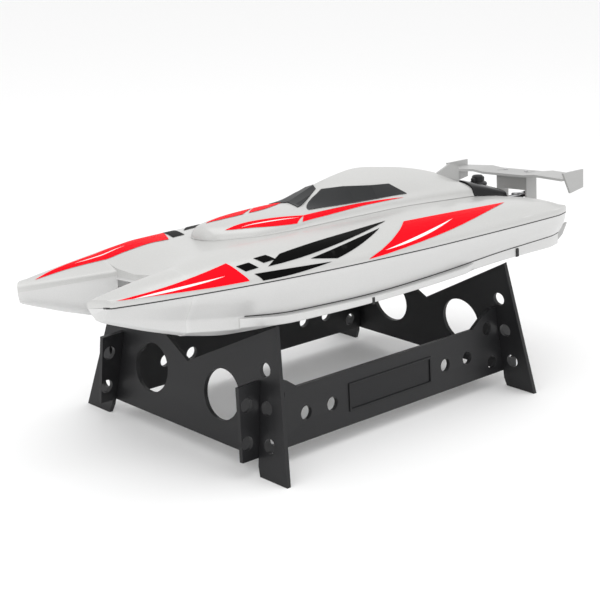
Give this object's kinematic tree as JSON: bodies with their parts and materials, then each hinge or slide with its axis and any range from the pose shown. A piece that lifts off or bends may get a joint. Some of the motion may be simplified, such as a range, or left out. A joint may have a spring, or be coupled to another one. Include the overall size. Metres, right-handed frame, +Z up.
{
  "type": "radio-controlled boat",
  "caption": "Toy catamaran racing boat with canopy hatch, rear wing, rudder and propeller, resting in a slotted black display stand.",
  "frame": {"origin": "on the floor under the middle of the boat and stand", "axes": "+X towards the bows, +Y to port, +Z up; the boat lies 4.5 degrees over to starboard about +X in its cradle"},
  "size_m": [0.4558, 0.206, 0.1649],
  "materials": {
    "silver_plastic": "satin silver-grey lacquer over moulded plastic",
    "smoked_glazing": "dark grey printed window",
    "black_gloss": "glossy black",
    "black_plastic": "fine satin black moulding",
    "stand_plastic": "fine-grained black polystyrene",
    "seal_rubber": "soft black rubber",
    "steel": "bright steel",
    "brass": "turned brass",
    "propeller_plastic": "glossy nylon",
    "battery_wrap": "blue shrink wrap",
    "switch_plastic": "red slider"
  },
  "bodies": {
    "stand": {"stand_front_plate": "stand_plastic", "stand_rear_plate": "stand_plastic", "stand_port_plate": "stand_plastic", "stand_starboard_plate": "stand_plastic"},
    "hull": {"hull_bottom": "silver_plastic", "deck_shell": "silver_plastic", "hatch_seal": "seal_rubber", "rear_wing": "silver_plastic", "end_plate_port": "silver_plastic", "end_plate_starboard": "silver_plastic", "wing_support": "silver_plastic", "wing_screws": "steel", "trim_tab_port": "silver_plastic", "trim_tab_starboard": "silver_plastic", "motor_case": "steel", "motor_endbell": "black_plastic", "motor_mount": "black_plastic", "motor_screws": "steel", "stuffing_tube": "brass", "rudder_bracket": "black_plastic", "steering_servo": "black_plastic", "servo_screws": "steel", "pushrod_grommet": "seal_rubber", "battery_tray": "black_plastic", "battery_pack": "battery_wrap", "battery_strap": "seal_rubber", "receiver_box": "black_plastic", "power_switch": "black_plastic"},
    "hatch": {"canopy_hatch": "silver_plastic", "windshield": "smoked_glazing", "side_window_port": "smoked_glazing", "side_window_starboard": "smoked_glazing", "dorsal_fin": "silver_plastic", "tail_panel_port": "black_gloss", "tail_panel_starboard": "black_gloss"},
    "knob": {"lock_knob": "black_plastic"},
    "drive": {"motor_rotor": "steel", "shaft_coupling": "brass", "propeller_shaft": "steel", "propeller": "propeller_plastic", "propeller_nut": "brass"},
    "rudder": {"rudder_blade": "black_plastic", "rudder_pin": "steel", "tiller_arm": "black_plastic"},
    "servo_arm": {"servo_horn": "black_plastic", "servo_shaft": "steel"},
    "link": {"pushrod": "steel"},
    "switch": {"switch_slider": "switch_plastic"}
  },
  "joints": [
    {"name": "boat_lift", "type": "slide", "parent": "stand", "child": "hull", "axis": [0, 0, 1], "range_m": [0, 0.12]},
    {"name": "hatch_lift", "type": "slide", "parent": "hull", "child": "hatch", "axis": [0, -0.0785, 0.9969], "range_m": [0, 0.06]},
    {"name": "lock_knob_turn", "type": "hinge", "parent": "hatch", "child": "knob", "pos_m": [-0.171, 0.00504, 0.13072], "axis": [0, -0.0785, 0.9969], "range_deg": [0, 90]},
    {"name": "propeller_spin", "type": "hinge", "parent": "hull", "child": "drive", "pos_m": [-0.04, 0.00598, 0.11876], "axis": [0.9903, -0.0109, 0.1387], "continuous": true},
    {"name": "rudder_turn", "type": "hinge", "parent": "hull", "child": "rudder", "pos_m": [-0.218, 0.007, 0.1058], "axis": [0, -0.0785, 0.9969], "range_deg": [-28, 28]},
    {"name": "servo_arm_turn", "type": "hinge", "parent": "hull", "child": "servo_arm", "pos_m": [-0.124, 0.02494, 0.10721], "axis": [0, -0.0785, 0.9969], "range_deg": [-30, 30]},
    {"name": "pushrod_slide", "type": "slide", "parent": "hull", "child": "link", "axis": [1, 0, 0], "range_m": [-0.005, 0.005]},
    {"name": "power_switch_slide", "type": "slide", "parent": "hull", "child": "switch", "axis": [1, 0, 0], "range_m": [0, 0.004]}
  ],
  "couplings": [
    {"joint": "servo_arm_turn", "follows": "rudder_turn", "ratio": -1},
    {"joint": "pushrod_slide", "follows": "rudder_turn", "m_per_rad": -0.009}
  ]
}
